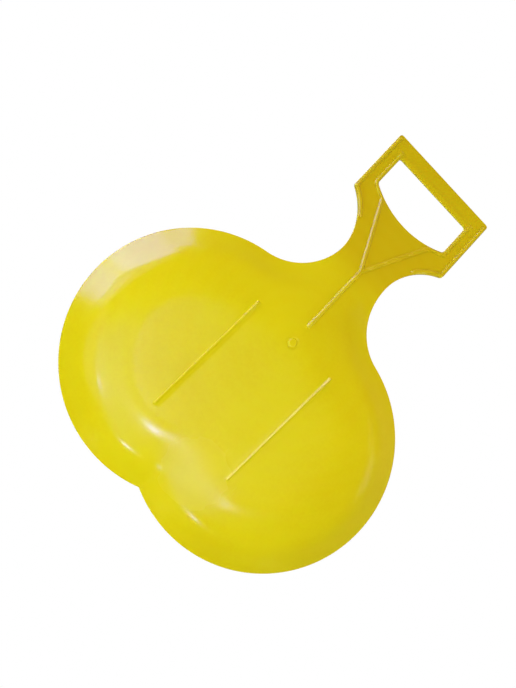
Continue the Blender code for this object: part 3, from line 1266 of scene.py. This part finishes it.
@dataclass(frozen=True)
class Studio:
    """White studio round the slider: world, floor, lamps and camera."""

    finish: StudioFinish

    def build_world(self) -> None:
        """White behind the slider, and a softer light on it that is warmer from below."""
        world = bpy.data.worlds.new("white_studio")
        world.use_nodes = True
        plan, finish = NodePlan(world.node_tree), self.finish
        path = plan.add("ShaderNodeLightPath")
        direction = plan.add("ShaderNodeTexCoord").outputs["Generated"]
        height = plan.add("ShaderNodeSeparateXYZ", inputs=(direction,)).outputs["Z"]
        above = plan.add("ShaderNodeMapRange", SMOOTH,
                         (height, -finish.horizon_blur, finish.horizon_blur))
        tint = plan.add("ShaderNodeMix", {"data_type": "RGBA"}, {
            0: above,
            6: linear_colour(finish.light_below),
            7: linear_colour(finish.light_above),
        })
        mirrored = plan.add("ShaderNodeMix", inputs={
            0: above,
            2: finish.mirrored_below,
            3: finish.mirrored_above,
        })
        strength = plan.add("ShaderNodeMix", inputs={
            0: path.outputs["Is Glossy Ray"],
            2: finish.ambient_strength,
            3: mirrored,
        })
        ambient = plan.add("ShaderNodeBackground", inputs=(tint.outputs[2], strength))
        white = plan.add("ShaderNodeBackground", inputs=(linear_colour(WHITE), 1.0))
        seen = plan.add("ShaderNodeMixShader",
                        inputs=(path.outputs["Is Camera Ray"], ambient, white))
        plan.add("ShaderNodeOutputWorld", inputs={"Surface": seen})
        bpy.context.scene.world = world

    def build_floor(self) -> None:
        """Pale floor under the runners, which can't be seen from below."""
        mesh = bpy.data.meshes.new("floor")
        bm = bmesh.new()
        bmesh.ops.create_grid(bm, x_segments=1, y_segments=1, size=self.finish.floor_reach)
        bmesh.ops.translate(bm, vec=(0.0, 0.0, -self.finish.floor_gap * MM), verts=bm.verts)
        bm.to_mesh(mesh)
        bm.free()
        floor = bpy.data.objects.new("floor", mesh)
        bpy.context.scene.collection.objects.link(floor)
        mesh.materials.append(self.floor_material())
        floor.visible_diffuse = False
        floor.visible_glossy = False
        floor.visible_transmission = False
        floor.visible_shadow = False

    def floor_material(self) -> bpy.types.Material:
        """Matt paint on the upper side of the floor and nothing on its lower side.

        Returns:
            The material.
        """
        material = bpy.data.materials.new("matt_white_paint")
        material.use_nodes = True
        plan = NodePlan(material.node_tree)
        lower_side = plan.add("ShaderNodeNewGeometry").outputs["Backfacing"]
        paint = plan.add("ShaderNodeBsdfDiffuse", inputs=(linear_colour(self.finish.floor),))
        clear = plan.add("ShaderNodeBsdfTransparent")
        surface = plan.add("ShaderNodeMixShader", inputs=(lower_side, paint, clear))
        plan.add("ShaderNodeOutputMaterial", inputs={"Surface": surface})
        return material

    def build_lamps(self, camera: PhotoCamera) -> None:
        """Soft lamps round the sliding side, screens that it mirrors, and one over the seat.

        Args:
            camera: The camera that the lamps are placed round.
        """
        lights, shines = LampUse.LIGHTS, LampUse.SHINES
        sky, haze = self.finish.sky, self.finish.haze
        lamps = (
            Lamp("front_light", (-0.17, 0.0, 0.98), 1.0, (0.5, 0.5), 4.45, "#F8FFF6", lights),
            Lamp("upper_left_light", (-0.6, 0.75, 0.28), 0.6, (0.12, 0.12), 0.76, "#EAFFE4",
                 lights),
            Lamp("lower_left_light", (-0.41, -0.41, 0.82), 0.6, (0.3, 0.3), 0.8, "#ECFFE6", lights),
            Lamp("right_light", (0.89, -0.43, 0.14), 0.6, (0.2, 0.2), 0.9, "#FFF0E4", lights),
            Lamp("far_right_light", (0.94, 0.0, 0.34), 2.6, (0.6, 0.6), 3.8, "#FFF2DE", lights),
            Lamp("top_light", (0.22, 0.97, 0.14), 3.0, (0.7, 0.7), 29.5, "#FFDCD0", lights),
            Lamp("low_light", (0.22, -0.97, 0.14), 3.0, (0.5, 0.5), 6.0, "#D8FFD0", lights),
            Lamp("far_left_light", (-0.7, -0.6, 0.3), 2.6, (0.6, 0.6), 15.3, "#FFF0EC", lights),
            Lamp("core_glint", (0.148, -0.215, 0.965), 3.2, (0.12, 0.16), 6.5, sky, shines),
            Lamp("band_glint", (0.27, 0.05, 0.96), 3.2, (0.06, 0.6), 1.2, haze, shines),
            Lamp("left_glint", (-0.237, -0.067, 0.969), 3.2, (0.05, 0.03), 2.4, sky, shines),
            Lamp("twin_glint", (-0.31, -0.62, 0.72), 2.8, (0.08, 0.08), 5.5, sky, shines),
            Lamp("rim_screen", (-0.25, 0.93, 0.26), 2.4, (1.55, 1.2), 39.0, haze, shines),
            Lamp("rim_streak", (0.05, 0.99, 0.1), 2.4, (0.55, 0.3), 3.0, haze, shines),
            Lamp("rim_spot", (-0.62, 0.69, 0.37), 2.4, (0.62, 0.8), 9.5, haze, shines),
            Lamp("wall_screen", (-0.46, 0.66, 0.6), 2.4, (1.1, 0.7), 4.4, haze, shines),
            Lamp("wall_haze", (-0.34, 0.74, 0.58), 2.4, (2.0, 1.7), 10.0, haze, shines),
            Lamp("front_screen", (-0.5, 0.1, 0.86), 2.6, (2.0, 1.8), 6.5, haze, shines),
            Lamp("light_over_seat", (-0.245, 0.403, -0.882), 2.45, (1.4, 1.4), 30.0, WHITE, lights),
            Lamp("seat_glint", (-0.2, 0.3, -0.93), 2.6, (1.2, 1.2), 6.0, WHITE, shines),
        )
        for lamp in lamps:
            lamp.build(camera)

    def build(self) -> None:
        """Set the whole studio up."""
        self.build_world()
        self.build_floor()
        camera = PhotoCamera()
        camera.build()
        self.build_lamps(camera)
        bpy.context.scene.view_settings.view_transform = "Standard"


def main() -> None:
    """Build the slider and its studio."""
    logging.basicConfig(level=logging.INFO, format="%(name)s: %(message)s")
    sizes = SliderSizes()
    sheet = SheetForm(sizes)
    material = PolyethyleneMaterial(PolyethyleneFinish(), sizes).build()
    shell = SliderShell(sizes, MeshFineness(), sheet).build(material)
    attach(shell, "root")
    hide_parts(SHELL_NODE)
    log.info("%s: %d faces", shell.name, len(shell.data.polygons))
    Studio(StudioFinish()).build()
    log.info("studio built")


if __name__ == "__main__":
    main()
